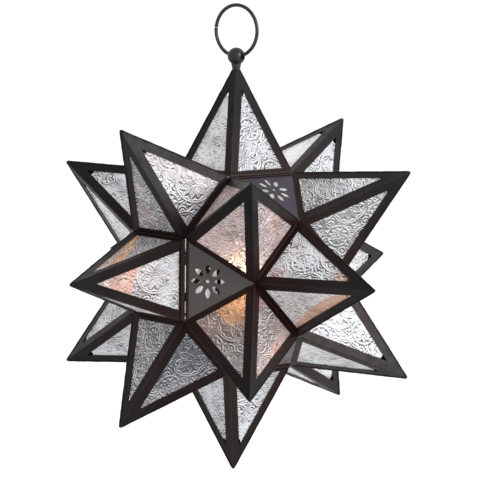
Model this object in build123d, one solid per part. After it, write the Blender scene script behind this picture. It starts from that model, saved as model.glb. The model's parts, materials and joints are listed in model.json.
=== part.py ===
from build123d import *
import math
import os

# A hanging star lantern of sheet metal and pressed glass. Eighteen hollow points stand on
# the square sides of a rhombicuboctahedral core, and its eight three-sided sides are flat
# plates pierced with a flower. Five points and four plates make up the door. A candle
# stands in a cup inside, and the top point carries a ball with the hanging ring through it.
#
# Millimetres, +Z up. The origin is where a hook bears on the inside of the ring, at its top.
# The door faces +X, its hinge is on the +Y side and its catch is on the -Y side.

# ---- driving dimensions ------------------------------------------------------------------

# The star
core_edge = 62.6            # side of every square and of every three-sided plate
point_height = 84.4         # square base to sharp tip
sheet = 0.5                 # thickness of the sheet metal
ridge_strip = 7.0           # width of metal left beside each ridge of a point
base_strip = 4.3            # width of metal left along each base edge
tip_cut = 3.0               # length taken off a sharp tip, under its solder cap
cap_height = 2.2            # height of a solder cap
cap_radius = 1.45           # radius of a solder cap at its foot

# Glass panes and the tabs that hold them
glass = 2.4                 # thickness of a pane
pane_side_margin = 4.6      # pane edge in from a ridge
pane_base_margin = 2.0      # pane edge in from a base edge
pane_tip_gap = 27.0         # sharp tip down to the blunt end of a pane
tab_sheet = 0.5             # thickness of a retaining tab
tab_width = 4.0             # width of a retaining tab
tab_lip = 2.6               # length of tab folded over the glass
tab_clearance = 0.1         # air between a tab and the glass
base_tab_spacing = 30.0     # between the two tabs on a base edge
side_tab_height = 30.0      # height of a side tab above the base edge

# Pierced plates
petal_count = 8
petal_length = 7.8
petal_width = 3.9
petal_circle = 9.2          # radius of the circle through the petals' middles
flower_eye = 1.3            # radius of the hole in the middle

# Door seam
seam_gap = 1.2              # body's edge to the door's edge, along X
hem_sheet = 0.4             # thickness of the folded hem on each side of the seam
hem_width = 2.6             # seam edge to the middle of the bead
bead_radius = 0.6           # radius of the bead rolled along the hem
bead_end = 1.5              # the bead stops this far short of the hem's end

# Door hinge
pin_radius = 0.8
pin_clearance = 0.05        # radial, pin in knuckle
knuckle_radius = 1.6
knuckle_count = 5           # the first, third and fifth are on the body
knuckle_length = 8.0        # pitch of the knuckles along the pin
knuckle_gap = 0.2           # end play between two knuckles
hinge_clearance = 0.3       # between a knuckle and the sheet that swings past it
leaf_sheet = 0.8
leaf_width = 4.0            # seam edge to the leaf's far edge
pin_head_radius = 1.4
pin_head = 0.8              # height of each pin head

# Door catch
catch_sheet = 0.6
catch_width = 7.0
catch_height = 14.8         # middle of the catch above the star's centre
catch_reach = 9.0           # length of tongue behind the seam edge
catch_drop = 2.0            # seam edge in to the outer side of the tongue
catch_foot = 8.0            # length of the foot soldered to the plate
bump_height = 0.8           # bump that springs past the body's edge
bump_length = 3.0
bump_start = 1.2            # tongue's end to the bump

# Hanging ring and the ball that it passes through
ring_radius = 19.7          # to the middle of the wire
ring_wire = 2.8             # wire diameter
ring_turn = 13.0            # the ring's plane, degrees from +X towards +Y
ring_joint = 0.4            # gap where the wire's ends meet
ring_joint_turn = 174.0     # where that gap is, degrees round the ring
ball_radius = 6.75
ball_lift = 5.2             # the top point's sharp tip up to the ball's middle
ball_clearance = 0.1        # radial, wire in the middle of the ball's hole
mouth_flare = 0.5           # spare width of the hole at the ball's surface
neck_top_radius = 3.9
neck_foot_radius = 2.9
neck_drop = 5.5             # the sharp tip down to the neck's foot

# Tray, cup and candle
tray_sheet = 1.0
tray_lip = 4.0              # height of the tray's rim
tray_overhang = 0.1         # tray's edge past the inner corners that carry it
cup_sheet = 0.8
cup_height = 14.0
candle_radius = 19.0
candle_height = 45.0
candle_clearance = 0.6      # radial, candle in cup
candle_edge = 1.5           # rounding of the candle's top edge
pool_radius = 14.5
pool_depth = 2.5
wick_radius = 0.8
wick_height = 9.0
wick_lean = 1.5             # sideways travel of the wick's end

# ---- sizes worked out from them ----------------------------------------------------------

half_edge = core_edge / 2
core_reach = half_edge * (1 + math.sqrt(2))          # centre to every square side
tip_reach = core_reach + point_height                # centre to every sharp tip
plate_reach = half_edge * (3 + math.sqrt(2)) / math.sqrt(3)
slant = math.hypot(half_edge, point_height)          # middle of a base edge to the tip
ridge_length = math.hypot(half_edge, slant)
ridge_angle = math.degrees(math.atan(half_edge / slant))

side_slope = half_edge / point_height
cone_slope = half_edge / core_reach
sheet_inset = sheet * slant / point_height           # sheet thickness, level with the base
seat_reach = (tip_reach * side_slope - sheet_inset) / (cone_slope + side_slope)
seat_half = seat_reach * cone_slope                  # inner corner between two sheets

ball_height = tip_reach + ball_lift                  # above the star's centre
hang_height = ball_height + 2 * ring_radius - ring_wire / 2
star_centre = Vector(0, 0, -hang_height)
door_edge_x = half_edge + seam_gap
beyond = 3 * tip_reach                               # larger than the whole star
cut_spare = 2 * sheet                                # how far a cut runs past a face

nodes = {}


def keep(name, *pieces):
    """Put the solids of some pieces into one named node."""
    nodes[name] = Compound([solid for piece in pieces for solid in piece.solids()])


def slab(plane, outline, low, high):
    """A flat plate with an outline on a plane, between two levels along its normal."""
    face = make_face(Polyline(*outline, close=True))
    return plane * Location((0, 0, low)) * extrude(face, amount=high - low)


# ---- one point, standing on +Z from the star's centre ------------------------------------

# The outer surface of the side towards +X: x along the base edge, y up to the tip.
side_plane = Plane(
    origin=(half_edge, 0, core_reach),
    x_dir=(0, 1, 0),
    z_dir=(point_height, 0, half_edge),
)


def width_at(height, inset):
    """Half the width of a side at a height above its base edge, inside an inset."""
    return (slant - height) * half_edge / slant - inset * ridge_length / slant


def retaining_tab(margin):
    """A tab folded round a pane whose edge lies a margin in from a sheet's edge."""
    outer = margin - tab_clearance - tab_sheet
    lip_top = -sheet - glass - tab_clearance
    seat = -sheet / 2
    leg = Box(tab_width, tab_sheet, seat - lip_top + tab_sheet,
              align=(Align.CENTER, Align.MIN, Align.MAX))
    lip = Box(tab_width, tab_sheet + tab_clearance + tab_lip, tab_sheet,
              align=(Align.CENTER, Align.MIN, Align.MAX))
    return Location((0, outer, seat)) * leg + Location((0, outer, lip_top)) * lip


def side_sheet(tip_drop):
    """One side of a point with its window and tabs, cut off level below the sharp tip."""
    top = tip_reach - tip_drop
    top_half = tip_drop * side_slope
    section = make_face(Plane.XZ * Polyline(
        (half_edge, core_reach), (top_half, top), (top_half - sheet_inset, top),
        (seat_half, seat_reach), close=True))
    quarter = make_face(Polyline(
        (0, 0), (core_edge, -core_edge), (core_edge, core_edge), close=True))
    blank = extrude(section, amount=half_edge, both=True) & extrude(quarter, amount=beyond)

    window_foot = width_at(base_strip, ridge_strip)
    window_tip = slant - ridge_strip * ridge_length / half_edge
    window = [(-window_foot, base_strip), (window_foot, base_strip), (0, window_tip)]
    pierced = blank - slab(side_plane, window, -sheet - cut_spare, cut_spare)

    for side in (-1, 1):
        at_base = Location((side * base_tab_spacing / 2, 0, 0))
        at_ridge = Location(
            (side * width_at(side_tab_height, 0), side_tab_height, 0),
            (0, 0, side * (90 + ridge_angle)))
        pierced += side_plane * at_base * retaining_tab(pane_base_margin)
        pierced += side_plane * at_ridge * retaining_tab(pane_side_margin)
    return pierced


def side_pane():
    """The pane behind one side, with its narrow end cut blunt."""
    foot = width_at(pane_base_margin, pane_side_margin)
    blunt_height = slant - pane_tip_gap
    blunt = width_at(blunt_height, pane_side_margin)
    outline = [(-foot, pane_base_margin), (foot, pane_base_margin),
               (blunt, blunt_height), (-blunt, blunt_height)]
    return slab(side_plane, outline, -sheet - glass, -sheet)


def four_sides(piece):
    return [Rot(0, 0, 90 * number) * piece for number in range(4)]


def solder_cap():
    """The drop of solder that closes a cut tip."""
    radius = (cap_radius ** 2 + cap_height ** 2) / (2 * cap_height)
    drop = Location((0, 0, cap_height - radius)) * Sphere(radius)
    drop -= Box(beyond, beyond, beyond, align=(Align.CENTER, Align.CENTER, Align.MAX))
    return Location((0, 0, tip_reach - tip_cut)) * drop


# ---- where the points and plates stand ---------------------------------------------------

def around(turn):
    """Unit vector across the door's axis, by degrees from +Y towards +Z."""
    return Vector(0, math.cos(math.radians(turn)), math.sin(math.radians(turn)))


along_x = Vector(1, 0, 0)
belt = {0: "right", 45: "upper_right", 90: "top", 135: "upper_left",
        180: "left", 225: "lower_left", 270: "bottom", 315: "lower_right"}
corner_turns = (45, 135, 225, 315)
plate_turns = (0, 90, 180, 270)
ends = {"door": along_x, "rear": -along_x}

points = {}
for turn, direction in belt.items():
    points[direction] = Plane(origin=star_centre, x_dir=along_x, z_dir=around(turn))
for end, outward in ends.items():
    points[end + "_middle"] = Plane(origin=star_centre, x_dir=around(45), z_dir=outward)
    for turn in corner_turns:
        points[end + "_" + belt[turn]] = Plane(
            origin=star_centre, x_dir=around(turn + 90), z_dir=outward + around(turn))

plates = {}
for end, outward in ends.items():
    for turn in plate_turns:
        plates[end + "_" + belt[turn]] = Plane(
            origin=star_centre,
            x_dir=outward * math.sqrt(2) - around(turn),
            z_dir=outward + around(turn) * math.sqrt(2))

body_space = Location((door_edge_x, 0, star_centre.Z)) * Box(
    beyond, beyond, beyond, align=(Align.MAX, Align.CENTER, Align.CENTER))


def fitted(name, plane, piece):
    """A piece in its place, cut back to the door's edge where it belongs to the door."""
    placed = plane * piece
    if name.startswith("door") and placed.bounding_box().min.X < door_edge_x:
        placed -= body_space
    return placed


# ---- pierced plates ----------------------------------------------------------------------

def triangle(radius):
    corners = [(radius * math.cos(math.radians(turn)), radius * math.sin(math.radians(turn)))
               for turn in (0, 120, 240)]
    return make_face(Polyline(*corners, close=True))


def petal():
    """A pointed oval lying along local x."""
    half = petal_length / 2
    rise = petal_width / 2
    return make_face(ThreePointArc((-half, 0), (0, rise), (half, 0))
                     + ThreePointArc((half, 0), (0, -rise), (-half, 0)))


def pierced_plate():
    """A three-sided plate on +Z, whose edges lean towards the star's centre."""
    radius = core_edge / math.sqrt(3)
    inner_reach = plate_reach - sheet
    blank = loft([Location((0, 0, inner_reach)) * triangle(radius * inner_reach / plate_reach),
                  Location((0, 0, plate_reach)) * triangle(radius)])
    below = Location((0, 0, inner_reach - cut_spare))
    depth = sheet + 2 * cut_spare
    blank -= below * extrude(Circle(flower_eye), amount=depth)
    for number in range(petal_count):
        spoke = Rot(0, 0, 360 / petal_count * number) * Location((petal_circle, 0, 0))
        blank -= below * spoke * extrude(petal(), amount=depth)
    return blank


# ---- door seam ---------------------------------------------------------------------------

# In a plane across a seam edge, x runs along the door's axis and y straight out from it.
# A rise is the way up a surface from the seam edge, and a face is its outward normal.
seam_corner = Vector(half_edge, core_reach)
body_rise = Vector(-half_edge, point_height).normalized()
body_face = body_rise.rotate(Axis.Z, -90)
plate_rise = Vector(math.sqrt(2), -1).normalized()
plate_face = plate_rise.rotate(Axis.Z, 90)
side_lean = math.degrees(math.atan2(point_height, half_edge))
corner_rise = Vector(1, -1).normalized().rotate(Axis.Z, side_lean)
corner_face = corner_rise.rotate(Axis.Z, 90)


def seam_plane(turn):
    """Plane across the middle of the seam edge at a place round the door's axis."""
    return Plane(origin=star_centre, x_dir=along_x, z_dir=around(turn + 90))


def hem(turn, rise, face, narrowing):
    """A folded strip with a rolled bead along one edge of the seam."""
    up = along_x * rise.X + around(turn) * rise.Y
    out = along_x * face.X + around(turn) * face.Y
    edge_middle = star_centre + along_x * seam_corner.X + around(turn) * seam_corner.Y
    surface = Plane(origin=edge_middle, x_dir=up.cross(out), z_dir=out)
    top_half = half_edge - hem_width * narrowing
    outline = [(-half_edge, 0), (half_edge, 0), (top_half, hem_width), (-top_half, hem_width)]
    bead = Cylinder(bead_radius, 2 * (top_half - bead_end), rotation=(0, 90, 0))
    return (slab(surface, outline, 0, hem_sheet)
            + surface * Location((0, hem_width, bead_radius)) * bead)


# ---- door hinge --------------------------------------------------------------------------

hinge_turn = 0
hinge_plane = seam_plane(hinge_turn)
hinge_length = knuckle_count * knuckle_length
notch = body_rise.get_angle(plate_rise)              # open angle outside the seam edge
pin_offset = knuckle_radius + hinge_clearance        # pin's axis from both surfaces
pin_distance = pin_offset / math.sin(math.radians(notch / 2))
pin_foot = pin_distance * math.cos(math.radians(notch / 2))
pin_place = seam_corner + plate_rise.rotate(Axis.Z, notch / 2) * pin_distance
leaf_start = pin_foot + math.sqrt(pin_offset ** 2 - (pin_offset - leaf_sheet) ** 2)


def leaf_strip(rise, face, start, end, low, high):
    """Flat strip on a surface beside the hinge, from start to end away from the seam."""
    near = seam_corner + rise * start
    far = seam_corner + rise * end
    corners = [near, far, far + face * leaf_sheet, near + face * leaf_sheet]
    return slab(hinge_plane, [(corner.X, corner.Y) for corner in corners], low, high)


def hinge_half(first, rise, face):
    """A leaf with every second knuckle."""
    half = leaf_strip(rise, face, leaf_start, leaf_width, -hinge_length / 2, hinge_length / 2)
    for number in range(first, knuckle_count, 2):
        low = number * knuckle_length - hinge_length / 2 + knuckle_gap / 2
        high = low + knuckle_length - knuckle_gap
        half += leaf_strip(rise, face, pin_foot, leaf_start + leaf_sheet, low, high)
        half += hinge_plane * Location((pin_place.X, pin_place.Y, low)) * Cylinder(
            knuckle_radius, high - low, align=(Align.CENTER, Align.CENTER, Align.MIN))
    bore = Location((pin_place.X, pin_place.Y, 0)) * Cylinder(
        pin_radius + pin_clearance, 2 * hinge_length)
    return half - hinge_plane * bore


def hinge_pin():
    shank_half = hinge_length / 2 + knuckle_gap
    pin = Cylinder(pin_radius, 2 * shank_half)
    for side in (-1, 1):
        pin += Location((0, 0, side * (shank_half + pin_head / 2))) * Cylinder(
            pin_head_radius, pin_head)
    return hinge_plane * Location((pin_place.X, pin_place.Y, 0)) * pin


# ---- door catch --------------------------------------------------------------------------

def under_plate(depth, level):
    """Place on a line at a depth under the plate's outer surface, at a level off the axis."""
    start = seam_corner - plate_face * depth
    return start + plate_rise * ((start.Y - level) / -plate_rise.Y)


def door_catch():
    """A springy tongue on the left plate, which slips in behind the body's edge."""
    outer = core_reach - catch_drop
    inner = outer - catch_sheet
    heel = under_plate(sheet, outer)
    toe = heel + plate_rise * catch_foot
    tongue_end = half_edge - catch_reach
    bump_end = tongue_end + bump_start
    corners = [toe, heel,
               Vector(bump_end + bump_length, outer),
               Vector(bump_end + bump_length / 2, outer + bump_height),
               Vector(bump_end, outer),
               Vector(tongue_end, outer),
               Vector(tongue_end, inner),
               under_plate(sheet + catch_sheet, inner),
               toe - plate_face * catch_sheet]
    left_plane = seam_plane(180)
    middle = -catch_height                           # the left plane's z runs down
    return slab(left_plane, [(corner.X, corner.Y) for corner in corners],
                middle - catch_width / 2, middle + catch_width / 2)


# ---- ring and ball -----------------------------------------------------------------------

ring_along = Vector(1, 0, 0).rotate(Axis.Z, ring_turn)
ring_plane = Plane(
    origin=(0, 0, -ring_radius + ring_wire / 2),
    x_dir=ring_along,
    z_dir=ring_along.cross(Vector(0, 0, 1)),
)


def hanging_ring():
    gap_turn = math.degrees(ring_joint / ring_radius)
    wire = Plane.XZ * Location((ring_radius, 0, 0)) * Circle(ring_wire / 2)
    ring = revolve(wire, Axis.Z, revolution_arc=360 - gap_turn)
    return ring_plane * Rot(0, 0, ring_joint_turn + gap_turn / 2) * ring


def ball_with_neck():
    """The ball and its neck in one casting, with a flared hole that lets the ring swing."""
    neck_foot = tip_reach - neck_drop
    neck_top = ball_height - math.sqrt(ball_radius ** 2 - neck_top_radius ** 2)
    neck = Location((0, 0, neck_foot)) * Cone(
        neck_foot_radius, neck_top_radius, neck_top - neck_foot,
        align=(Align.CENTER, Align.CENTER, Align.MIN))
    ball = Location((0, 0, ball_height)) * Sphere(ball_radius)
    throat = ring_wire / 2 + ball_clearance
    mouth = throat + ball_radius ** 2 / (2 * ring_radius) + mouth_flare
    flare = make_face(
        Polyline((ball_radius, mouth), (ball_radius, 0), (-ball_radius, 0),
                 (-ball_radius, mouth))
        + ThreePointArc((-ball_radius, mouth), (0, throat), (ball_radius, mouth)))
    hole = Location((0, 0, ball_height)) * Rot(0, 0, ring_turn) * revolve(flare, Axis.X)
    return Location(star_centre) * (neck + ball - hole)


# ---- tray, cup and candle ----------------------------------------------------------------

tray_floor = star_centre.Z - seat_reach
cup_floor = tray_floor + tray_sheet
candle_foot = cup_floor + cup_sheet
pool_floor = candle_foot + candle_height - pool_depth
standing = (Align.CENTER, Align.CENTER, Align.MIN)


def drip_tray():
    side = 2 * (seat_half + tray_overhang)
    pan = Box(side, side, tray_sheet + tray_lip, align=standing)
    hollow = Box(side - 2 * tray_sheet, side - 2 * tray_sheet, tray_lip, align=standing)
    return Location((0, 0, tray_floor)) * (pan - Location((0, 0, tray_sheet)) * hollow)


def candle_cup():
    bore = candle_radius + candle_clearance
    cup = Cylinder(bore + cup_sheet, cup_height, align=standing)
    cup -= Location((0, 0, cup_sheet)) * Cylinder(bore, cup_height, align=standing)
    return Location((0, 0, cup_floor)) * cup


def candle():
    wax = Cylinder(candle_radius, candle_height, align=standing)
    wax = fillet(wax.edges().sort_by(Axis.Z)[-1], candle_edge)
    pool = Location((0, 0, candle_height - pool_depth)) * Cylinder(
        pool_radius, pool_depth, align=standing)
    return Location((0, 0, candle_foot)) * (wax - pool)


def wick():
    path = TangentArc(
        (0, 0, pool_floor), (wick_lean, 0, pool_floor + wick_height), tangent=(0, 0, 1))
    return sweep(Plane(path @ 0, z_dir=path % 0) * Circle(wick_radius), path=path)


# ---- the assembly ------------------------------------------------------------------------

frame_sides = four_sides(side_sheet(tip_cut))
top_frame_sides = four_sides(side_sheet(neck_drop))
pane_sides = four_sides(side_pane())
cap = solder_cap()
caps = {"door": [], "body": []}

for name, plane in points.items():
    sides = top_frame_sides if name == "top" else frame_sides
    keep(name + "_point_frame", *[fitted(name, plane, side) for side in sides])
    keep(name + "_point_panes", *[fitted(name, plane, pane) for pane in pane_sides])
    if name != "top":
        caps["door" if name.startswith("door") else "body"].append(plane * cap)
for group, group_caps in caps.items():
    keep(group + "_tip_caps", *group_caps)

flower_plate = pierced_plate()
for name, plane in plates.items():
    keep(name + "_plate", fitted(name, plane, flower_plate))

side_narrowing = half_edge / slant
plate_narrowing = 1 / math.sqrt(3)
seam_turns = [turn for turn in belt if turn != hinge_turn]   # the leaves replace that hem
keep("body_rim", *[hem(turn, body_rise, body_face, side_narrowing) for turn in seam_turns])
door_hems = []
for turn in seam_turns:
    if turn in plate_turns:
        door_hems.append(hem(turn, plate_rise, plate_face, plate_narrowing) - body_space)
    else:
        door_hems.append(hem(turn, corner_rise, corner_face, side_narrowing) - body_space)
keep("door_rim", *door_hems)

keep("body_hinge_leaf", hinge_half(0, body_rise, body_face))
keep("door_hinge_leaf", hinge_half(1, plate_rise, plate_face))
keep("hinge_pin", hinge_pin())
keep("door_catch", door_catch())
keep("hanging_ring", hanging_ring())
keep("ball_finial", ball_with_neck())
keep("drip_tray", drip_tray())
keep("candle_cup", candle_cup())
keep("candle", candle())
keep("wick", wick())

os.makedirs("parts", exist_ok=True)
for name, node in nodes.items():
    export_step(node, f"parts/{name}.step")
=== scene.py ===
import json
import math
import random

import bmesh
import bpy
import numpy as np
from mathutils import Matrix, Quaternion, Vector, noise


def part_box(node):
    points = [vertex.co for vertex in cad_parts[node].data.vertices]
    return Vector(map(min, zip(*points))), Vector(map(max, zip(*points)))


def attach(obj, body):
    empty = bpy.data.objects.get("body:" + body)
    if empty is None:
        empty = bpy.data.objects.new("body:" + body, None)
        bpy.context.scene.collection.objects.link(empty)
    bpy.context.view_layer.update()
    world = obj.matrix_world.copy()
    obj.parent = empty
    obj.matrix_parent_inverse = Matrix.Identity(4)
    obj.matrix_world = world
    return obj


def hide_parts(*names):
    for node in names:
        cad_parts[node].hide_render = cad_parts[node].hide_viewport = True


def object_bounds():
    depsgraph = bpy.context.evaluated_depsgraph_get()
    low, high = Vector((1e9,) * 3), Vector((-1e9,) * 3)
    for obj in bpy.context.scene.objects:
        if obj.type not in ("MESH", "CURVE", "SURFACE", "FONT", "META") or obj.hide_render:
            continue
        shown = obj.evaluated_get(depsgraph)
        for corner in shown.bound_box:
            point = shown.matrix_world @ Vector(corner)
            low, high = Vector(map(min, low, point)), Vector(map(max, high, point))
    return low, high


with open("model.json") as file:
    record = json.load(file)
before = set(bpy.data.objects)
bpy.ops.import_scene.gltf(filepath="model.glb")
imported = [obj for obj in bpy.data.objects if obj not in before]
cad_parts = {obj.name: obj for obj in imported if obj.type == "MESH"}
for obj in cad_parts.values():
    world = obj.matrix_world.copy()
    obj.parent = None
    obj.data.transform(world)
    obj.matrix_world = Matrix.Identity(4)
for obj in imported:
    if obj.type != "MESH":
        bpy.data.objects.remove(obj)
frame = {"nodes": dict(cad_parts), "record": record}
cad_low, cad_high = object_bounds()

# A hanging star lantern. The dark sheet metal, plates, hinge, ring and candle are the
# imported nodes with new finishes. The glass panes are made again here with their pressed
# relief, and the solder along the folds and the candle's flame are added.

MM = 0.001

# ---- the star's own sizes ----------------------------------------------------------------

CORE_EDGE = 62.6 * MM        # side of every square that carries a point
POINT_HEIGHT = 84.4 * MM     # that square to the sharp tip
SHEET = 0.5 * MM             # thickness of the metal, in front of the glass
GLASS = 2.4 * MM             # thickness of a pane
PANE_SIDE_MARGIN = 4.6 * MM  # pane's edge in from a ridge
PANE_BASE_MARGIN = 2.0 * MM  # pane's edge in from a base edge
PANE_TIP_GAP = 27.0 * MM     # sharp tip down to the blunt end of a pane

half_edge = CORE_EDGE / 2
core_reach = half_edge * (1 + math.sqrt(2))
slant = math.hypot(half_edge, POINT_HEIGHT)
ridge_length = math.hypot(half_edge, slant)
star_centre = Vector((0, 0, cad_low.z + (cad_high.x - cad_low.x) / 2))
wick_low, wick_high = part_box("wick")

# ---- where the points stand --------------------------------------------------------------

BELT = {0: "right", 45: "upper_right", 90: "top", 135: "upper_left",
        180: "left", 225: "lower_left", 270: "bottom", 315: "lower_right"}
CORNER_TURNS = (45, 135, 225, 315)
ALONG_X = Vector((1, 0, 0))


def around(turn):
    """Unit vector across the door's axis, by degrees from +Y towards +Z."""
    return Vector((0, math.cos(math.radians(turn)), math.sin(math.radians(turn))))


def plane(origin, x_dir, z_dir):
    """Matrix of a plane from its origin, the way of its x axis and its normal."""
    z_axis = z_dir.normalized()
    x_axis = x_dir.normalized()
    y_axis = z_axis.cross(x_axis)
    turned = Matrix((x_axis, y_axis, z_axis)).transposed().to_4x4()
    return Matrix.Translation(origin) @ turned


def point_planes():
    """Every point's name with the plane that it stands on, at the star's centre."""
    found = {}
    for turn, name in BELT.items():
        found[name] = plane(star_centre, ALONG_X, around(turn))
    for end, outward in (("door", ALONG_X), ("rear", -ALONG_X)):
        found[end + "_middle"] = plane(star_centre, around(45), outward)
        for turn in CORNER_TURNS:
            found[end + "_" + BELT[turn]] = plane(
                star_centre, around(turn + 90), outward + around(turn))
    return found


points = point_planes()
side_plane = plane(
    Vector((half_edge, 0, core_reach)),
    Vector((0, 1, 0)),
    Vector((POINT_HEIGHT, 0, half_edge)))


def body_of(name):
    """The body that a point, or a thing on it, moves with."""
    return "door" if name.startswith("door") else "star"


def quarter_turn(side):
    return Matrix.Rotation(math.radians(90 * side), 4, "Z")


def width_at(height, inset):
    """Half the width of a side at a height above its base edge, inside an inset."""
    return (slant - height) * half_edge / slant - inset * ridge_length / slant


# ---- mesh helpers ------------------------------------------------------------------------

def new_object(name, mesh, *materials):
    made = bpy.data.objects.new(name, mesh)
    bpy.context.scene.collection.objects.link(made)
    for material in materials:
        made.data.materials.append(material)
    return made


def mesh_from(name, shape):
    """Turn a bmesh into a mesh of that name and free it."""
    mesh = bpy.data.meshes.new(name)
    shape.to_mesh(mesh)
    shape.free()
    return mesh


def everything(shape):
    return shape.verts[:] + shape.edges[:] + shape.faces[:]


# ---- pressed pattern of the glass --------------------------------------------------------

# The pattern's sizes are millimetres on the sheet of glass that the panes are cut from.
RELIEF_STEP = 0.5 * MM       # spacing of the mesh that carries the relief
RELIEF_DEPTH = 0.5 * MM      # ridges above the ground
LINE = 0.62                  # how wide a pressed line is
FINE_LINE = 0.45
BROAD_LINE = 0.85
RAISED = 0.38                # height of a petal or a border beside that of a line

ROSE_PITCH = 37.0            # from one large flower to the next, both ways
ROSE_RING = 14.6             # radius of the ring round it
ROSE_SCALLOP = 12.2          # least radius of the scalloped ring inside that
SCALLOP_DEPTH = 0.9
ROSE_PETALS = 6              # of each kind
BROAD_PETAL = {"start": 2.6, "end": 12.0, "width": 2.3}
NARROW_PETAL = {"start": 5.5, "end": 12.0, "width": 1.0}
ROSE_MIDDLE = 0.8
ROSE_EYE = 2.2               # radius of the small ring round its middle

DAISY_RING = 8.6             # radius of the ring round a small flower
DAISY_PETALS = 10
DAISY_PETAL = {"start": 1.9, "end": 7.4, "width": 1.15}
DAISY_MIDDLE = 1.0

CURL_PITCH = 8.6             # from one small curl to the next
CURL_REACH = 4.4             # its radius
COIL = 2.3                   # between the turns of a curl
CURL_GAP = 0.5               # from a curl to the broken ring round it

WANDER = 1.1                 # how far the pattern strays from straight rows
GRAIN_SHARE = 0.18           # of the relief that is the glass's own unevenness


def smooth_step(value, edge, softness):
    share = np.clip((value - edge) / softness + 0.5, 0, 1)
    return share * share * (3 - 2 * share)


def line(distance, width=LINE):
    """Height of a rounded line, by the distance from its middle."""
    return np.exp(-(distance / width) ** 2)


def highest(*heights):
    return np.maximum.reduce(heights)


def leaf(along, aside, length, width):
    """A raised leaf with its outline and rib, by the distance along it and to its side."""
    share = np.clip(along / length, 0, 1)
    half_width = width * np.sin(math.pi * share ** 0.8)
    outline = line(np.abs(aside) - half_width)
    rib = 0.8 * line(aside, FINE_LINE) * (share > 0.2) * (share < 0.8)
    blade = RAISED * smooth_step(half_width - np.abs(aside), 0, 0.5)
    return highest(outline, rib, blade) * (along > 0) * (along < length)


def petals(radius, angle, count, start, end, width):
    """Leaves that stand round a middle like a flower's petals."""
    sector = 2 * math.pi / count
    folded = (angle + sector / 2) % sector - sector / 2
    return leaf(radius * np.cos(folded) - start, radius * np.sin(folded), end - start, width)


def rose(radius, angle):
    """Six broad petals and six narrow ones in a double ring with a scalloped edge."""
    scallop = ROSE_SCALLOP + SCALLOP_DEPTH * np.abs(np.cos(ROSE_PETALS * angle))
    border = RAISED * smooth_step(radius - scallop, 0, 0.5) * (radius < ROSE_RING)
    return highest(
        border, line(radius - ROSE_RING, BROAD_LINE), line(radius - scallop, FINE_LINE),
        petals(radius, angle, ROSE_PETALS, **BROAD_PETAL),
        petals(radius, angle + math.pi / ROSE_PETALS, ROSE_PETALS, **NARROW_PETAL),
        line(radius, ROSE_MIDDLE), line(radius - ROSE_EYE, FINE_LINE))


def daisy(radius, angle):
    """Ten petals in a single ring."""
    return highest(
        line(radius - DAISY_RING, BROAD_LINE),
        petals(radius, angle, DAISY_PETALS, **DAISY_PETAL),
        line(radius, DAISY_MIDDLE))


def curls(x, y):
    """Small coils, turned either way, that fill the sheet between the flowers."""
    column = np.round(x / CURL_PITCH)
    shift = 0.5 * (column % 2)
    row = np.round(y / CURL_PITCH - shift)
    local_x = x - column * CURL_PITCH
    local_y = y - (row + shift) * CURL_PITCH
    radius = np.hypot(local_x, local_y)
    hand = np.where((row + column) % 2 == 0, 1, -1)
    turned = hand * np.arctan2(local_y, local_x) + 2.4 * column + 1.7 * row
    turns = radius / COIL - turned / (2 * math.pi)
    coil = line((turns - np.round(turns)) * COIL) * (radius < CURL_REACH)
    ring = line(radius - CURL_REACH - CURL_GAP, FINE_LINE) * (np.cos(3 * turned) > -0.2)
    return highest(coil, ring)


def grain(x, y):
    """The glass's own fine unevenness, from 0 to 1."""
    across = np.sin(2.7 * x + 1.7 * np.sin(1.2 * y) + 0.9 * np.sin(0.32 * y))
    along = np.sin(2.7 * y + 1.9 * np.sin(1.0 * x + 1.0))
    return 0.5 + 0.5 * across * along


def strength(x, y):
    """How deeply the lines are pressed from place to place."""
    worn = np.sin(x / 5.3 + 1.4 * np.sin(y / 7.9)) * np.sin(y / 4.4 + 1.1 * np.sin(x / 6.7))
    return 0.68 + 0.32 * worn


def relief(x, y):
    """Height of the pressed pattern, from 0 to 1, at places on the sheet."""
    bent_x = x + WANDER * np.sin(y / 8.3)
    bent_y = y + WANDER * np.sin(x / 9.1 + 0.6)
    rose_x = (bent_x / ROSE_PITCH + 0.5) % 1 - 0.5
    rose_y = (bent_y / ROSE_PITCH + 0.5) % 1 - 0.5
    rose_radius = ROSE_PITCH * np.hypot(rose_x, rose_y)
    daisy_x = (bent_x / ROSE_PITCH) % 1 - 0.5
    daisy_y = (bent_y / ROSE_PITCH) % 1 - 0.5
    daisy_radius = ROSE_PITCH * np.hypot(daisy_x, daisy_y)
    flowers = np.where(
        rose_radius < ROSE_RING + 1,
        rose(rose_radius, np.arctan2(rose_y, rose_x)),
        daisy(daisy_radius, np.arctan2(daisy_y, daisy_x)))
    in_flower = (rose_radius < ROSE_RING + 1) | (daisy_radius < DAISY_RING + 1)
    drawn = np.where(in_flower, flowers, curls(bent_x, bent_y))
    return (1 - GRAIN_SHARE) * drawn * strength(x, y) + GRAIN_SHARE * grain(x, y)


def slope(x, y, way_x, way_y, reach):
    """Fall of the pattern's surface along a way, measured over a reach to each side."""
    across = relief(x + reach, y) - relief(x - reach, y)
    along = relief(x, y + reach) - relief(x, y - reach)
    return -(across * way_x + along * way_y) / (2 * reach)


# Reach that shows the lines or the broader shapes, and the slope that counts as full
LINES = {"reach": 0.15, "full": 1.05}
BROAD_SHAPES = {"reach": 0.9, "full": 1.2}


def facing(x, y, way_x, way_y):
    """How far the lines and the broader petals and borders face a way, from -1 to 1."""
    lines = slope(x, y, way_x, way_y, LINES["reach"]) / LINES["full"]
    broad_shapes = slope(x, y, way_x, way_y, BROAD_SHAPES["reach"]) / BROAD_SHAPES["full"]
    return np.clip(lines + broad_shapes, -1, 1)


# ---- glass panes -------------------------------------------------------------------------

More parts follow.
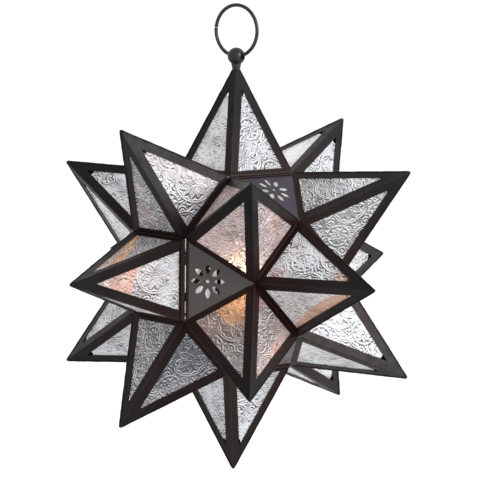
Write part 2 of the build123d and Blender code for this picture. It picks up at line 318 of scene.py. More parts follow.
# The contrast sets how strongly the pattern's flanks take painted highlights and painted shade
FULL_CONTRAST = 1.3          # of the pattern where nothing tints the glass

pane_foot = width_at(PANE_BASE_MARGIN, PANE_SIDE_MARGIN)
pane_top = slant - PANE_TIP_GAP

# Colours painted on the glass in place of the candle's and the room's light, as linear light. The
# warm ones are painted candle light, the greys and darker ones painted shade, and CLEAR is the
# glass where nothing is painted.
CLEAR = (0.86, 0.87, 0.90)
WHITE = (0.97, 0.97, 0.98)
GREY = (0.42, 0.42, 0.44)
DUSK = (0.25, 0.245, 0.24)
SLATE = (0.09, 0.105, 0.145)
MIST = (0.66, 0.67, 0.70)
HAZE = (0.40, 0.40, 0.415)
BEIGE = (0.52, 0.465, 0.45)
BLUSH = (0.80, 0.69, 0.66)
ROSY = (0.84, 0.67, 0.65)
PINK = (0.60, 0.46, 0.445)
FAWN = (0.43, 0.355, 0.345)
SALMON = (0.92, 0.56, 0.45)
ROSE = (0.62, 0.28, 0.27)
TAN = (0.70, 0.42, 0.29)
AMBER = (0.86, 0.43, 0.13)
GLOW = (1.0, 0.82, 0.72)
MAUVE = (0.28, 0.205, 0.205)


def past(across, up, edge, softness):
    """Cover of the part of a pane where across * u + up * v is more than an edge."""
    def cover(u, v):
        return smooth_step(across * u + up * v, edge, softness)
    return cover


def all_over():
    """Cover of a whole pane."""
    def cover(u, v):
        return np.ones(len(u))
    return cover


SPOT_LOBE = 1.3              # millimetres that the lobes of a spot's edge stand out


def round_spot(middle_u, middle_v, radius, softness, lobes=0):
    """Round cover of a pane, by its middle, and its radius and soft edge in millimetres."""
    def across_and_up(u, v):
        return u * (1 - v) * half_edge / MM, v * slant / MM

    def cover(u, v):
        middle_x, middle_y = across_and_up(middle_u, middle_v)
        x, y = across_and_up(u, v)
        lobe = SPOT_LOBE * np.abs(np.cos(lobes / 2 * np.arctan2(y - middle_y, x - middle_x)))
        edge = radius + (lobe if lobes else 0)
        return 1 - smooth_step(np.hypot(x - middle_x, y - middle_y) - edge, 0, softness)
    return cover


# The painted light and shade of a pane, each with what it covers and the share of the pattern's
# contrast that it keeps. u runs from -1 to 1 along the base edge, v from 0 at the base to 1 at the
# tip.
PAINTED_LIGHT_TINTS = {
    ("left", 0): [(past(0.05, 1.0, 0.43, 0.03), SALMON, 0.4),
                  (past(0.05, 1.0, 0.66, 0.12), BLUSH, 0.5)],
    ("left", 1): [(all_over(), GREY, 0.8), (past(0.39, 1.0, 0.33, 0.04), AMBER, 0.6),
                  (past(0.39, 1.0, 0.52, 0.15), PINK, 0.7)],
    ("upper_left", 0): [(all_over(), HAZE, 1.1), (past(0.6, 1.0, 0.25, 0.30), BEIGE, 0.5)],
    ("upper_left", 3): [(all_over(), GREY, 0.9), (round_spot(-0.25, 0.20, 3.5, 4), ROSE, 0.6),
                        (round_spot(-0.5, 0.45, 6, 6), BLUSH, 0.8)],
    ("upper_right", 3): [(all_over(), WHITE, 0.1)],
    ("top", 0): [(all_over(), MIST, 1.3)],
    ("top", 3): [(all_over(), WHITE, 0.7)],
    ("door_lower_right", 1): [(all_over(), MIST, 1.15)],
    ("lower_left", 0): [(all_over(), GREY, 1.0), (past(0.4, -1.0, -0.45, 0.40), SLATE, 1.0)],
    ("lower_left", 1): [(all_over(), DUSK, 1.4), (past(0.0, 1.0, 0.40, 0.40), GREY, 1.4)],
    ("door_upper_right", 0): [(past(0.0, -1.0, -0.30, 0.20), GREY, 1.0)],
    ("door_upper_right", 1): [(all_over(), GREY, 1.3)],
    ("door_upper_left", 0): [(all_over(), ROSY, 0.65), (round_spot(0.62, 0.06, 15, 14), GLOW, 0.6)],
    ("door_upper_left", 1): [(all_over(), PINK, 0.65),
                             (round_spot(-0.80, 0.10, 9, 9), GLOW, 0.7),
                             (round_spot(0.45, 0.30, 6, 7), TAN, 0.7)],
    ("door_upper_left", 3): [(all_over(), PINK, 0.5), (past(0.0, 1.0, 0.58, 0.05), SALMON, 0.5)],
    ("door_lower_left", 2): [(all_over(), BEIGE, 0.75), (past(0.0, -1.0, -0.42, 0.20), MAUVE, 0.75),
                             (past(1.0, 0.0, 0.74, 0.20), SALMON, 0.6),
                             (round_spot(-0.57, 0.08, 19.0, 1.0, 14), AMBER, 0.9)],
    ("door_lower_left", 1): [(all_over(), FAWN, 0.7), (past(-1.0, 0.4, 0.4, 0.5), PINK, 0.5),
                             (round_spot(0.67, 0.10, 4, 4), ROSE, 0.7),
                             (round_spot(-0.74, 0.32, 9, 8), SALMON, 0.6),
                             (round_spot(-0.78, 0.27, 3, 4), AMBER, 0.6)],
    ("door_middle", 1): [(all_over(), CLEAR, 1.05), (round_spot(0.63, 0.12, 5, 6), ROSE, 0.8),
                         (past(0.0, 1.0, 0.60, 0.06), TAN, 0.6)],
    ("door_middle", 2): [(all_over(), CLEAR, 0.75), (past(0.62, 1.0, 0.47, 0.02), TAN, 0.4)],
}

# The fixed way, at rest, that the flanks with painted highlights face; flanks that face away from
# it get painted shade
PAINTED_LIGHT_WAY = Vector((0.35, -0.10, 0.93))


def pane_painted_light(name, side, u, v):
    """Painted light and shade of the glass over one pane, and the contrast of its pattern."""
    colour = np.tile(CLEAR, (len(u), 1))
    contrast = np.full(len(u), FULL_CONTRAST)
    for cover, painted_light, kept in PAINTED_LIGHT_TINTS.get((name, side), ()):
        share = cover(u, v)
        colour = colour * (1 - share[:, None]) + np.array(painted_light) * share[:, None]
        contrast = contrast * (1 - share) + kept * share
    return colour, contrast


PANE_CUT = 0.02 * MM         # how near to a slanting edge a vertex counts as on it
MOST_FRONT_VERTS = 8         # of a face of the finely divided front


def pane_blank():
    """A closed pane with a plain front, finely divided for the relief."""
    shape = bmesh.new()
    half_height = (pane_top - PANE_BASE_MARGIN) / 2
    bmesh.ops.create_grid(
        shape,
        x_segments=round(2 * pane_foot / RELIEF_STEP),
        y_segments=round(2 * half_height / RELIEF_STEP),
        size=pane_foot)
    bmesh.ops.scale(shape, vec=(1, half_height / pane_foot, 1), verts=shape.verts)
    middle_height = PANE_BASE_MARGIN + half_height
    bmesh.ops.translate(shape, vec=(0, middle_height, 0), verts=shape.verts)
    for side in (-1, 1):
        bmesh.ops.bisect_plane(
            shape, geom=everything(shape), dist=PANE_CUT,
            plane_co=(side * pane_foot, PANE_BASE_MARGIN, 0),
            plane_no=(side * slant, half_edge, 0), clear_outer=True)
    for face in shape.faces:
        face.smooth = True
    rim = [edge for edge in shape.edges if edge.is_boundary]
    walls = bmesh.ops.extrude_edge_only(shape, edges=rim)["geom"]
    back_verts = [item for item in walls if isinstance(item, bmesh.types.BMVert)]
    back_edges = [item for item in walls
                  if isinstance(item, bmesh.types.BMEdge) and item.is_boundary]
    bmesh.ops.translate(shape, vec=(0, 0, -GLASS), verts=back_verts)
    bmesh.ops.edgeloop_fill(shape, edges=back_edges)
    bmesh.ops.translate(shape, vec=(0, 0, -SHEET), verts=shape.verts)
    bmesh.ops.recalc_face_normals(shape, faces=shape.faces)
    for face in shape.faces:
        is_wall = abs(face.normal.z) < 0.5
        is_back = len(face.verts) > MOST_FRONT_VERTS
        if is_wall or is_back:
            face.smooth = False
    return mesh_from("pane_blank", shape)


SHEET_REACH = 90.0           # a pane starts this far, at most, from the sheet's middle


def press_pane(blank, stand, name, side, draws):
    """One pane with the pattern pressed into its front, in the plane of its side."""
    pane = blank.copy()
    places = np.empty(len(pane.vertices) * 3)
    pane.vertices.foreach_get("co", places)
    places = places.reshape(-1, 3)
    turn = draws.uniform(0, 2 * math.pi)
    x_start = draws.uniform(-SHEET_REACH, SHEET_REACH)
    y_start = draws.uniform(-SHEET_REACH, SHEET_REACH)
    across, up = places[:, 0] / MM, places[:, 1] / MM
    sheet_x = x_start + across * math.cos(turn) - up * math.sin(turn)
    sheet_y = y_start + across * math.sin(turn) + up * math.cos(turn)
    height = relief(sheet_x, sheet_y)
    front = places[:, 2] > -SHEET - 0.5 * GLASS
    places[:, 2] -= np.where(front, (1 - height) * RELIEF_DEPTH, 0)
    pane.vertices.foreach_set("co", places.ravel())

    # Painted highlights and shade: each flank of the pattern is lightened or darkened in its colour
    # by how far it faces the fixed way at rest, not by the lamps
    painted_light_way = (stand @ quarter_turn(side) @ side_plane).to_3x3().inverted() @ PAINTED_LIGHT_WAY
    way = Vector((painted_light_way.x, painted_light_way.y)).normalized()
    way_x = way.x * math.cos(turn) - way.y * math.sin(turn)
    way_y = way.x * math.sin(turn) + way.y * math.cos(turn)
    crest = pane.attributes.new("crest", "FLOAT", "POINT")
    crest.data.foreach_set("value", np.where(front, height, 0.5))
    # The pane's painted candle light and shade, and how much of the pattern's contrast it keeps
    u = places[:, 0] / (half_edge * (1 - places[:, 1] / slant))
    v = places[:, 1] / slant
    painted_light = np.ones((len(u), 4))
    painted_light[:, :3], contrast = pane_painted_light(name, side, u, v)
    painted_light[:, 3] = np.sqrt(np.clip(contrast, 0, 1))
    shown = contrast * facing(sheet_x, sheet_y, way_x, way_y)
    painted_light_lean = pane.attributes.new("painted_light_lean", "FLOAT", "POINT")
    painted_light_lean.data.foreach_set("value", np.where(front, shown, 0))
    colour = pane.attributes.new("painted_light", "FLOAT_COLOR", "POINT")
    colour.data.foreach_set("color", painted_light.ravel())
    return pane


def glass_panes(material):
    """Four pressed panes in each point, each set in one piece that stands for its node."""
    blank = pane_blank()
    draws = random.Random(1836)
    for name, stand in points.items():
        shape = bmesh.new()
        for side in range(4):
            pane = press_pane(blank, stand, name, side, draws)
            pane.transform(stand @ quarter_turn(side) @ side_plane)
            shape.from_mesh(pane)
            bpy.data.meshes.remove(pane)
        piece = new_object(name + "_panes", mesh_from(name + "_panes", shape), material)
        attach(piece, body_of(name))
        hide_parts(name + "_point_panes")


# ---- solder ------------------------------------------------------------------------------

RIDGE_BEAD = 0.55 * MM       # radius of the solder along a point's ridge
RIDGE_START = 3.5 * MM       # the bead's clearance from the corner that points share
RIDGE_END = 2.9 * MM         # its clearance from the sharp tip
VALLEY_BEAD = 0.5 * MM       # radius of the solder along the core's edges
VALLEY_END = 4.0 * MM
BEAD_STEP = 2.2 * MM         # between the rings that a bead is divided into
BEAD_SIDES = 8
BEAD_WAVE = 4 * MM           # length of a bulge
BEAD_SWELL = 0.35            # share of the radius that it bulges by
BEAD_STRAY = 0.25            # share of the radius that it strays sideways by


def bead(start, end, radius):
    """Mesh of a wavering bead of solder between two places."""
    run = end - start
    shape = bmesh.new()
    bmesh.ops.create_cone(
        shape, cap_ends=True, segments=BEAD_SIDES,
        radius1=radius, radius2=radius, depth=run.length)
    long_edges = [edge for edge in shape.edges if edge.calc_length() > 0.5 * run.length]
    cuts = max(2, round(run.length / BEAD_STEP))
    bmesh.ops.subdivide_edges(shape, edges=long_edges, cuts=cuts, use_grid_fill=True)
    middle = (start + end) / 2
    for vert in shape.verts:
        along = Vector((vert.co.z / BEAD_WAVE, middle.x * 90, middle.z * 70))
        swell = 1 + BEAD_SWELL * noise.noise(along)
        vert.co.x *= swell
        vert.co.y *= swell
        vert.co.x += BEAD_STRAY * radius * noise.noise(along * 0.6 + Vector((9, 0, 0)))
    lie = run.to_track_quat("Z", "Y").to_matrix().to_4x4()
    bmesh.ops.transform(shape, matrix=Matrix.Translation(middle) @ lie, verts=shape.verts)
    return mesh_from("bead", shape)


def soldered(name, body, beads, material):
    """One piece of solder beads, each given by its two ends and radius."""
    shape = bmesh.new()
    for start, end, radius in beads:
        mesh = bead(start, end, radius)
        shape.from_mesh(mesh)
        bpy.data.meshes.remove(mesh)
    for face in shape.faces:
        face.smooth = True
    piece = new_object(name, mesh_from(name, shape), material)
    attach(piece, body)


def base_corner(stand, side):
    """Corner of a point's base between one side and the next."""
    return stand @ quarter_turn(side) @ Vector((half_edge, half_edge, core_reach))


def ridge_solder(material):
    """A bead along the four ridges of every point."""
    for name, stand in points.items():
        tip = stand @ Vector((0, 0, core_reach + POINT_HEIGHT))
        beads = []
        for side in range(4):
            corner = base_corner(stand, side)
            way = (tip - corner).normalized()
            beads.append((corner + way * RIDGE_START, tip - way * RIDGE_END, RIDGE_BEAD))
        soldered(name + "_ridge_solder", body_of(name), beads, material)


def valley_solder(material):
    """A bead along every edge of the core, apart from those at the door's seam."""
    edges = {}
    for name, stand in points.items():
        for side in range(4):
            start, end = base_corner(stand, side - 1), base_corner(stand, side)
            middle = (start + end) / 2
            key = tuple(round(value / MM) for value in middle)
            at_seam = min(start.x, end.x) > 0 and max(start.x, end.x) < half_edge + MM
            if not at_seam and key not in edges:
                edges[key] = (body_of(name), start, end)
    for body in ("star", "door"):
        beads = []
        for owner, start, end in edges.values():
            if owner == body:
                way = (end - start).normalized() * VALLEY_END
                beads.append((start + way, end - way, VALLEY_BEAD))
        name = "door_edge_solder" if body == "door" else "body_edge_solder"
        soldered(name, body, beads, material)


# ---- the flame ---------------------------------------------------------------------------

FLAME_HEIGHT = 21 * MM
FLAME_RADIUS = 4.2 * MM
FLAME_STEPS = 22
FLAME_SIDES = 24
FLAME_GLOW = 6.0
flame_foot = wick_high.z - 4 * MM


def candle_flame(material):
    """A teardrop of flame round the wick's end."""
    shape = bmesh.new()
    profile = []
    for step in range(FLAME_STEPS + 1):
        share = step / FLAME_STEPS
        swell = math.sin(math.pi * share ** 0.7) if 0 < share < 1 else 0
        radius = FLAME_RADIUS * swell ** 0.8
        profile.append(shape.verts.new((radius, 0, share * FLAME_HEIGHT)))
    outline = [shape.edges.new(pair) for pair in zip(profile, profile[1:])]
    bmesh.ops.spin(
        shape, geom=profile + outline, cent=(0, 0, 0), axis=(0, 0, 1),
        angle=2 * math.pi, steps=FLAME_SIDES, use_merge=True)
    bmesh.ops.remove_doubles(shape, verts=shape.verts, dist=0.01 * MM)
    bmesh.ops.recalc_face_normals(shape, faces=shape.faces)
    for face in shape.faces:
        face.smooth = True
    wick_middle = (wick_low + wick_high) / 2
    bmesh.ops.translate(
        shape, vec=(wick_middle.x, wick_middle.y, flame_foot), verts=shape.verts)
    piece = new_object("candle_flame", mesh_from("candle_flame", shape), material)
    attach(piece, "candle")


# ---- materials ---------------------------------------------------------------------------

def add(tree, kind, **inputs):
    """A new shader node with some of its sockets set by name."""
    node = tree.nodes.new(kind)
    for name, value in inputs.items():
        socket = node.inputs[name.replace("_", " ")]
        socket.default_value = value
    return node


def mixed(tree, factor, first, second):
    """A colour mixed from two others, each a socket or a plain colour."""
    node = tree.nodes.new("ShaderNodeMix")
    node.data_type = "RGBA"
    for name, value in (("Factor_Float", factor), ("A_Color", first), ("B_Color", second)):
        socket = next(item for item in node.inputs if item.identifier == name)
        if isinstance(value, bpy.types.NodeSocket):
            tree.links.new(value, socket)
        elif isinstance(value, (int, float)):
            socket.default_value = value
        else:
            socket.default_value = (*value, 1)
    return next(item for item in node.outputs if item.identifier == "Result_Color")


def ranged(tree, value, low, high, low_out=0.0, high_out=1.0):
    """A value moved from one range to another, held at its ends."""
    node = add(tree, "ShaderNodeMapRange",
               From_Min=low, From_Max=high, To_Min=low_out, To_Max=high_out)
    tree.links.new(value, node.inputs["Value"])
    return node.outputs["Result"]


def multiplied(tree, first, second):
    """The product of two values."""
    node = add(tree, "ShaderNodeMath")
    node.operation = "MULTIPLY"
    tree.links.new(first, node.inputs[0])
    tree.links.new(second, node.inputs[1])
    return node.outputs["Value"]


def cloud(tree, place, size, detail=3.0, roughness=0.55):
    """Noise whose lumps are about a size across."""
    node = add(tree, "ShaderNodeTexNoise", Scale=1 / size, Detail=detail, Roughness=roughness)
    tree.links.new(place, node.inputs["Vector"])
    return node.outputs["Fac"]


def new_group(name, inputs, outputs):
    """An empty node group with named inputs and outputs, and its own end nodes."""
    group = bpy.data.node_groups.new(name, "ShaderNodeTree")
    for title, kind, value in inputs:
        socket = group.interface.new_socket(title, in_out="INPUT", socket_type=kind)
        if value is not None:
            socket.default_value = value
    for title, kind in outputs:
        group.interface.new_socket(title, in_out="OUTPUT", socket_type=kind)
    return group, group.nodes.new("NodeGroupInput"), group.nodes.new("NodeGroupOutput")


def patina_group():
    """Dark metal that has clouded with age, with painted candle light near the flame: colour,
    roughness and the height of its grain.
    """
    group, start, end = new_group(
        "patina",
        [("Place", "NodeSocketVector", None),
         ("Dark", "NodeSocketColor", (0.01, 0.01, 0.01, 1)),
         ("Light", "NodeSocketColor", (0.03, 0.03, 0.03, 1)),
         ("Painted Glow", "NodeSocketColor", (0.03, 0.02, 0.015, 1)),
         ("Painted Glow Centre", "NodeSocketVector", (0, 0, 0)),
         ("Painted Glow Reach", "NodeSocketFloat", 0.1)],
        [("Colour", "NodeSocketColor"),
         ("Roughness", "NodeSocketFloat"),
         ("Height", "NodeSocketFloat")])
    place = start.outputs["Place"]
    broad = ranged(group, cloud(group, place, 32 * MM), 0.34, 0.66)
    grain = cloud(group, place, 1.4 * MM, detail=2.0)
    specks = ranged(group, cloud(group, place, 3.5 * MM, detail=5.0), 0.60, 0.72)
    colour = mixed(group, broad, start.outputs["Dark"], start.outputs["Light"])
    apart = add(group, "ShaderNodeVectorMath")
    apart.operation = "DISTANCE"
    group.links.new(place, apart.inputs[0])
    group.links.new(start.outputs["Painted Glow Centre"], apart.inputs[1])
    # Painted candle light: the metal takes the glow colour near the wick, fading out by the reach
    reach = group.nodes.new("ShaderNodeMapRange")
    group.links.new(apart.outputs["Value"], reach.inputs["Value"])
    group.links.new(start.outputs["Painted Glow Reach"], reach.inputs["From Max"])
    reach.inputs["From Min"].default_value = 0.08
    reach.inputs["To Min"].default_value = 0.9
    reach.inputs["To Max"].default_value = 0.0
    colour = mixed(group, reach.outputs["Result"], colour, start.outputs["Painted Glow"])
    soft_specks = ranged(group, specks, 0, 1, 0, 0.35)
    colour = mixed(group, soft_specks, colour, start.outputs["Light"])
    group.links.new(colour, end.inputs["Colour"])
    roughness = ranged(group, cloud(group, place, 9 * MM), 0.3, 0.7, 0.30, 0.46)
    group.links.new(roughness, end.inputs["Roughness"])
    group.links.new(grain, end.inputs["Height"])
    return group


def principled(name):
    """A new material with its node tree, its Principled shader and its object place."""
    material = bpy.data.materials.new(name)
    material.use_nodes = True
    tree = material.node_tree
    shader = tree.nodes["Principled BSDF"]
    place = tree.nodes.new("ShaderNodeTexCoord").outputs["Object"]
    return material, tree, shader, place


def bumped(tree, shader, height, strength, distance):
    bump = add(tree, "ShaderNodeBump", Strength=strength, Distance=distance)
    tree.links.new(height, bump.inputs["Height"])
    tree.links.new(bump.outputs["Normal"], shader.inputs["Normal"])


def aged_metal(name, group, dark, light, painted_glow, reach, shine):
    """A dark metal finish made with the patina group, with painted candle light round the wick."""
    material, tree, shader, place = principled(name)
    patina = tree.nodes.new("ShaderNodeGroup")
    patina.node_tree = group
    tree.links.new(place, patina.inputs["Place"])
    patina.inputs["Dark"].default_value = (*dark, 1)
    patina.inputs["Light"].default_value = (*light, 1)
    patina.inputs["Painted Glow"].default_value = (*painted_glow, 1)
    patina.inputs["Painted Glow Centre"].default_value = (wick_high.x, wick_high.y, wick_high.z)
    patina.inputs["Painted Glow Reach"].default_value = reach
    tree.links.new(patina.outputs["Colour"], shader.inputs["Base Color"])
    tree.links.new(patina.outputs["Roughness"], shader.inputs["Roughness"])
    shader.inputs["Specular IOR Level"].default_value = shine
    bumped(tree, shader, patina.outputs["Height"], 0.25, 0.2 * MM)
    return material


def attribute(tree, name):
    node = tree.nodes.new("ShaderNodeAttribute")
    node.attribute_name = name
    return node


# What the glass shows besides its painted tints, as linear light: mottling, painted shade on its
# low ground and flanks, and painted highlights on its flanks and crests
VEILED = (0.34, 0.345, 0.36)
HOLLOW = (0.12, 0.125, 0.14)
GROUND_PAINTED_SHADE = (0.13, 0.135, 0.15)
SHADED = (0.05, 0.053, 0.062)
FLANK_PAINTED_SHADE = (0.012, 0.013, 0.018)
FLANK_PAINTED_HIGHLIGHT = (1.0, 1.0, 1.0)
CREST_PAINTED_HIGHLIGHT = (0.97, 0.97, 0.98)
# The glass gives off a painted glow of its own colour, though it is no lamp
GLASS_PAINTED_GLOW = 0.14            # share of the glass's colour that it gives off
GLASS_CLEARNESS = 0.55


def pressed_glass():
    """Clear pressed glass with painted light: painted highlights and shade on the flanks of its
    pattern, painted candle and room light over its panes, and a painted glow.
    """
    material, tree, shader, place = principled("pressed_glass")
    # The panes' painted candle light and shade, and the share of the mottling that it keeps
    painted_light_attribute = attribute(tree, "painted_light")
    painted_light, kept = painted_light_attribute.outputs["Color"], painted_light_attribute.outputs["Alpha"]
    painted_light_lean = attribute(tree, "painted_light_lean").outputs["Fac"]
    crest = attribute(tree, "crest").outputs["Fac"]
    depth = ranged(tree, cloud(tree, place, 20 * MM, detail=2.0), 0.40, 0.58, 0.30, 1.0)
    veil = ranged(tree, cloud(tree, place, 17 * MM, detail=1.0), 0.40, 0.64, 0.0, 0.18)
    colour = mixed(tree, multiplied(tree, veil, kept), painted_light, VEILED)
    hollow = ranged(tree, cloud(tree, place, 12 * MM, detail=2.0), 0.48, 0.66, 0.0, 0.50)
    colour = mixed(tree, multiplied(tree, hollow, kept), colour, HOLLOW)
    # Painted shade on the low ground between the raised lines
    ground_painted_shade = ranged(tree, crest, 0.10, 0.36, 0.38, 0.0)
    colour = mixed(tree, multiplied(tree, ground_painted_shade, kept), colour, GROUND_PAINTED_SHADE)
    shadow = ranged(tree, cloud(tree, place, 3.0 * MM, detail=4.0), 0.52, 0.64, 0.0, 0.35)
    shadow = multiplied(tree, multiplied(tree, shadow, depth), kept)
    colour = mixed(tree, shadow, colour, SHADED)
    # Painted shade on flanks that face away from the fixed way, painted highlights on those that
    # face it
    flank_painted_shade = ranged(tree, painted_light_lean, -0.08, -0.34, 0.0, 1.0)
    shaded = multiplied(tree, flank_painted_shade, depth)
    colour = mixed(tree, shaded, colour, FLANK_PAINTED_SHADE)
    flank_painted_highlight = ranged(tree, painted_light_lean, 0.08, 0.45, 0.0, 0.9)
    colour = mixed(tree, flank_painted_highlight, colour, FLANK_PAINTED_HIGHLIGHT)
    # Painted highlight on the crests of the raised lines
    crest_painted_highlight = ranged(tree, crest, 0.80, 0.98, 0.0, 0.4)
    colour = mixed(tree, crest_painted_highlight, colour, CREST_PAINTED_HIGHLIGHT)
    tree.links.new(colour, shader.inputs["Base Color"])
    # Painted glow: the glass's colour is given off as light
    tree.links.new(colour, shader.inputs["Emission Color"])
    shader.inputs["Emission Strength"].default_value = GLASS_PAINTED_GLOW
    rough = ranged(tree, cloud(tree, place, 3 * MM), 0.3, 0.7, 0.05, 0.2)
    tree.links.new(rough, shader.inputs["Roughness"])
    shader.inputs["Transmission Weight"].default_value = GLASS_CLEARNESS
    shader.inputs["IOR"].default_value = 1.5
    bumped(tree, shader, cloud(tree, place, 0.9 * MM, detail=2.0), 0.5, 0.25 * MM)
    return material


def wax():
    material, tree, shader, place = principled("wax")
    lit = ranged(tree, cloud(tree, place, 14 * MM), 0.3, 0.7)
    colour = mixed(tree, lit, (0.80, 0.70, 0.52), (0.88, 0.80, 0.64))
    tree.links.new(colour, shader.inputs["Base Color"])
    rough = ranged(tree, cloud(tree, place, 4 * MM), 0.3, 0.7, 0.4, 0.6)
    tree.links.new(rough, shader.inputs["Roughness"])
    shader.inputs["Subsurface Weight"].default_value = 0.3
    shader.inputs["Subsurface Radius"].default_value = (6 * MM, 3 * MM, 1.5 * MM)
    shader.inputs["Subsurface Scale"].default_value = 1.0
    bumped(tree, shader, cloud(tree, place, 5 * MM), 0.3, 0.5 * MM)
    return material


def burnt_cotton():
    material, tree, shader, place = principled("burnt_cotton")
    twist = add(tree, "ShaderNodeTexWave", Scale=900.0, Distortion=2.0)
    tree.links.new(place, twist.inputs["Vector"])
    colour = mixed(tree, twist.outputs["Fac"], (0.02, 0.015, 0.012), (0.09, 0.07, 0.05))
    tree.links.new(colour, shader.inputs["Base Color"])
    rough = ranged(tree, twist.outputs["Fac"], 0, 1, 0.8, 0.95)
    tree.links.new(rough, shader.inputs["Roughness"])
    bumped(tree, shader, twist.outputs["Fac"], 0.6, 0.2 * MM)
    return material


def flame():
    material, tree, shader, place = principled("flame")
    apart = tree.nodes.new("ShaderNodeSeparateXYZ")
    tree.links.new(place, apart.inputs["Vector"])
    height = ranged(tree, apart.outputs["Z"], flame_foot, flame_foot + FLAME_HEIGHT)
    colour = mixed(tree, height, (1.0, 0.70, 0.50), (1.0, 0.90, 0.76))
    tree.links.new(colour, shader.inputs["Emission Color"])
    tree.links.new(colour, shader.inputs["Base Color"])
    shader.inputs["Emission Strength"].default_value = FLAME_GLOW
    return material


# Every metal's darker and lighter patches, its painted candle light near the flame and how far that
# reaches, and its shine
METALS = {
    "star_metal": ((0.003, 0.003, 0.004), (0.012, 0.011, 0.012), (0.018, 0.006, 0.004),
                   150 * MM, 0.11),
    "plate_metal": ((0.066, 0.057, 0.064), (0.092, 0.080, 0.088), (0.084, 0.068, 0.068),
                    120 * MM, 0.35),
    # A darker, bluer copy of the plate finish: painted shade for the top plate, which faces up into
    # the key light
    "blued_plate": ((0.022, 0.020, 0.034), (0.036, 0.032, 0.052), (0.032, 0.027, 0.038),
                    120 * MM, 0.25),
    "solder": ((0.004, 0.004, 0.004), (0.015, 0.014, 0.014), (0.024, 0.011, 0.008),
               150 * MM, 0.14),
    "ring_metal": ((0.006, 0.006, 0.006), (0.022, 0.021, 0.020), (0.020, 0.020, 0.020),
                   90 * MM, 0.4),
    "hinge_metal": ((0.020, 0.018, 0.017), (0.050, 0.046, 0.043), (0.040, 0.030, 0.025),
                    130 * MM, 0.5),
    "tray_metal": ((0.030, 0.026, 0.022), (0.070, 0.060, 0.050), (0.120, 0.075, 0.045),
                   100 * MM, 0.5),
}


def finish_nodes():
    """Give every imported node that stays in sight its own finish, and return the finishes."""
    patina = patina_group()
    finishes = {name: aged_metal(name, patina, *metal) for name, metal in METALS.items()}
    finishes["wax"] = wax()
    finishes["wick_cotton"] = burnt_cotton()
    for entry in frame["record"]["subparts"]:
        if entry["material_slot"] in finishes:
            node = frame["nodes"][entry["node"]]
            node.data.materials.clear()
            node.data.materials.append(finishes[entry["material_slot"]])
    # The upward-facing top plate takes the darker copy, as painted shade
    frame["nodes"]["door_top_plate"].data.materials[0] = finishes["blued_plate"]
    return finishes


# ---- floor, light and camera -------------------------------------------------------------

FLOOR_DROP = 0.25            # the lowest tip down to the floor
FLOOR_REACH = 40.0
VIEW = Vector((0.758, -0.639, 0.130)).normalized()   # from the star to the camera
VIEW_DISTANCE = 1.913
LENS = 183.9
AIM_RIGHT = 4.0 * MM
AIM_UP = 22.1 * MM
ROLL = 0.455                 # degrees

KEY_WAY = Vector((0.86, 0.25, 0.42))                 # from the star to the lamp
KEY_DISTANCE = 1.7
KEY_SIZE = 0.9
KEY_POWER = 31               # watts
FILL_WAY = Vector((0.10, -0.95, 0.20))
FILL_DISTANCE = 1.9
FILL_SIZE = 1.4
FILL_POWER = 1
CANDLE_POWER = 0.15
SKY_LIGHT = 0.42             # of the surroundings, where they aren't seen

SHADOW_EDGE = 0.95           # out to here the floor keeps the star's shadow plain
FADE_EDGE = 1.35             # from here on it glows towards white


def seen_white(tree):
    """A mask of the rays that show a surface to the camera, straight or by way of a shine."""
    path = tree.nodes.new("ShaderNodeLightPath")
    mask = path.outputs["Is Camera Ray"]
    for name in ("Is Glossy Ray", "Is Transmission Ray"):
        either = tree.nodes.new("ShaderNodeMath")
        either.operation = "MAXIMUM"
        tree.links.new(mask, either.inputs[0])
        tree.links.new(path.outputs[name], either.inputs[1])
        mask = either.outputs["Value"]
    return mask


def pale_floor():
    shape = bmesh.new()
    bmesh.ops.create_grid(shape, x_segments=8, y_segments=8, size=FLOOR_REACH)
    level = cad_low.z - FLOOR_DROP
    bmesh.ops.translate(shape, vec=(0, 0, level), verts=shape.verts)
    material, tree, shader, place = principled("pale_floor")
    shader.inputs["Base Color"].default_value = (0.82, 0.82, 0.82, 1)
    shader.inputs["Roughness"].default_value = 0.9
    shader.inputs["Specular IOR Level"].default_value = 0.1
    shader.inputs["Emission Color"].default_value = (1, 1, 1, 1)
    apart = add(tree, "ShaderNodeVectorMath")
    apart.operation = "LENGTH"
    tree.links.new(place, apart.inputs[0])
    lift = ranged(tree, apart.outputs["Value"], SHADOW_EDGE, FADE_EDGE, 0.22, 0.7)
    shown = multiplied(tree, lift, seen_white(tree))
    tree.links.new(shown, shader.inputs["Emission Strength"])
    floor = new_object("floor", mesh_from("floor", shape), material)


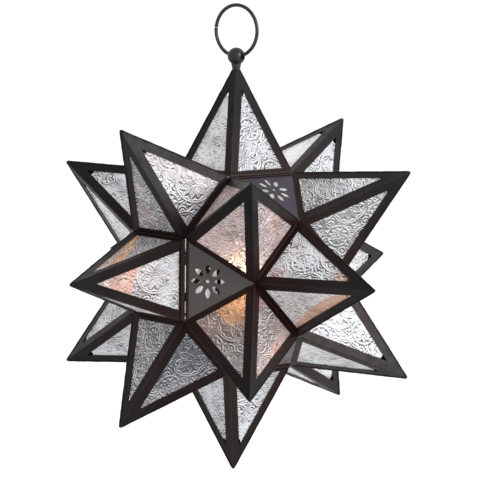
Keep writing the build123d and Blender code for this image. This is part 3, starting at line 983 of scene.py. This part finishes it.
def surroundings():
    """White where it is seen, and a soft grey as light."""
    world = bpy.data.worlds.new("studio")
    bpy.context.scene.world = world
    world.use_nodes = True
    tree = world.node_tree
    background = tree.nodes["Background"]
    background.inputs["Color"].default_value = (1, 1, 1, 1)
    strength = ranged(tree, seen_white(tree), 0, 1, SKY_LIGHT, 1.0)
    tree.links.new(strength, background.inputs["Strength"])


def soft_light(name, way, distance, size, power):
    """A square lamp that faces the star from some way off."""
    data = bpy.data.lights.new(name, "AREA")
    data.shape = "SQUARE"
    data.size = size
    data.energy = power
    lamp = bpy.data.objects.new(name, data)
    bpy.context.scene.collection.objects.link(lamp)
    lamp.location = star_centre + way.normalized() * distance
    lamp.rotation_mode = "QUATERNION"
    lamp.rotation_quaternion = way.to_track_quat("Z", "Y")


def candle_light():
    """The flame's own light, which rises with the candle."""
    data = bpy.data.lights.new("candle_light", "POINT")
    data.shadow_soft_size = 6 * MM
    data.energy = CANDLE_POWER
    data.color = (1.0, 0.64, 0.42)
    lamp = bpy.data.objects.new("candle_light", data)
    bpy.context.scene.collection.objects.link(lamp)
    lamp.location = wick_high + Vector((0, 0, FLAME_HEIGHT))
    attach(lamp, "candle")


def camera():
    data = bpy.data.cameras.new("camera")
    data.lens = LENS
    data.clip_end = 200
    made = bpy.data.objects.new("camera", data)
    bpy.context.scene.collection.objects.link(made)
    right = Vector((0, 0, 1)).cross(VIEW).normalized()
    up = VIEW.cross(right)
    place = star_centre + VIEW * VIEW_DISTANCE
    aim = star_centre + right * AIM_RIGHT + up * AIM_UP
    made.location = place
    made.rotation_mode = "QUATERNION"
    level = (aim - place).to_track_quat("-Z", "Y")
    made.rotation_quaternion = level @ Quaternion((0, 0, 1), math.radians(ROLL))
    bpy.context.scene.camera = made


# ---- the whole lantern -------------------------------------------------------------------

bpy.context.scene.view_settings.view_transform = "Standard"
solder_finish = finish_nodes()["solder"]
glass_panes(pressed_glass())
ridge_solder(solder_finish)
valley_solder(solder_finish)
candle_flame(flame())
pale_floor()
surroundings()
soft_light("key_light", KEY_WAY, KEY_DISTANCE, KEY_SIZE, KEY_POWER)
soft_light("fill_light", FILL_WAY, FILL_DISTANCE, FILL_SIZE, FILL_POWER)
candle_light()
camera()
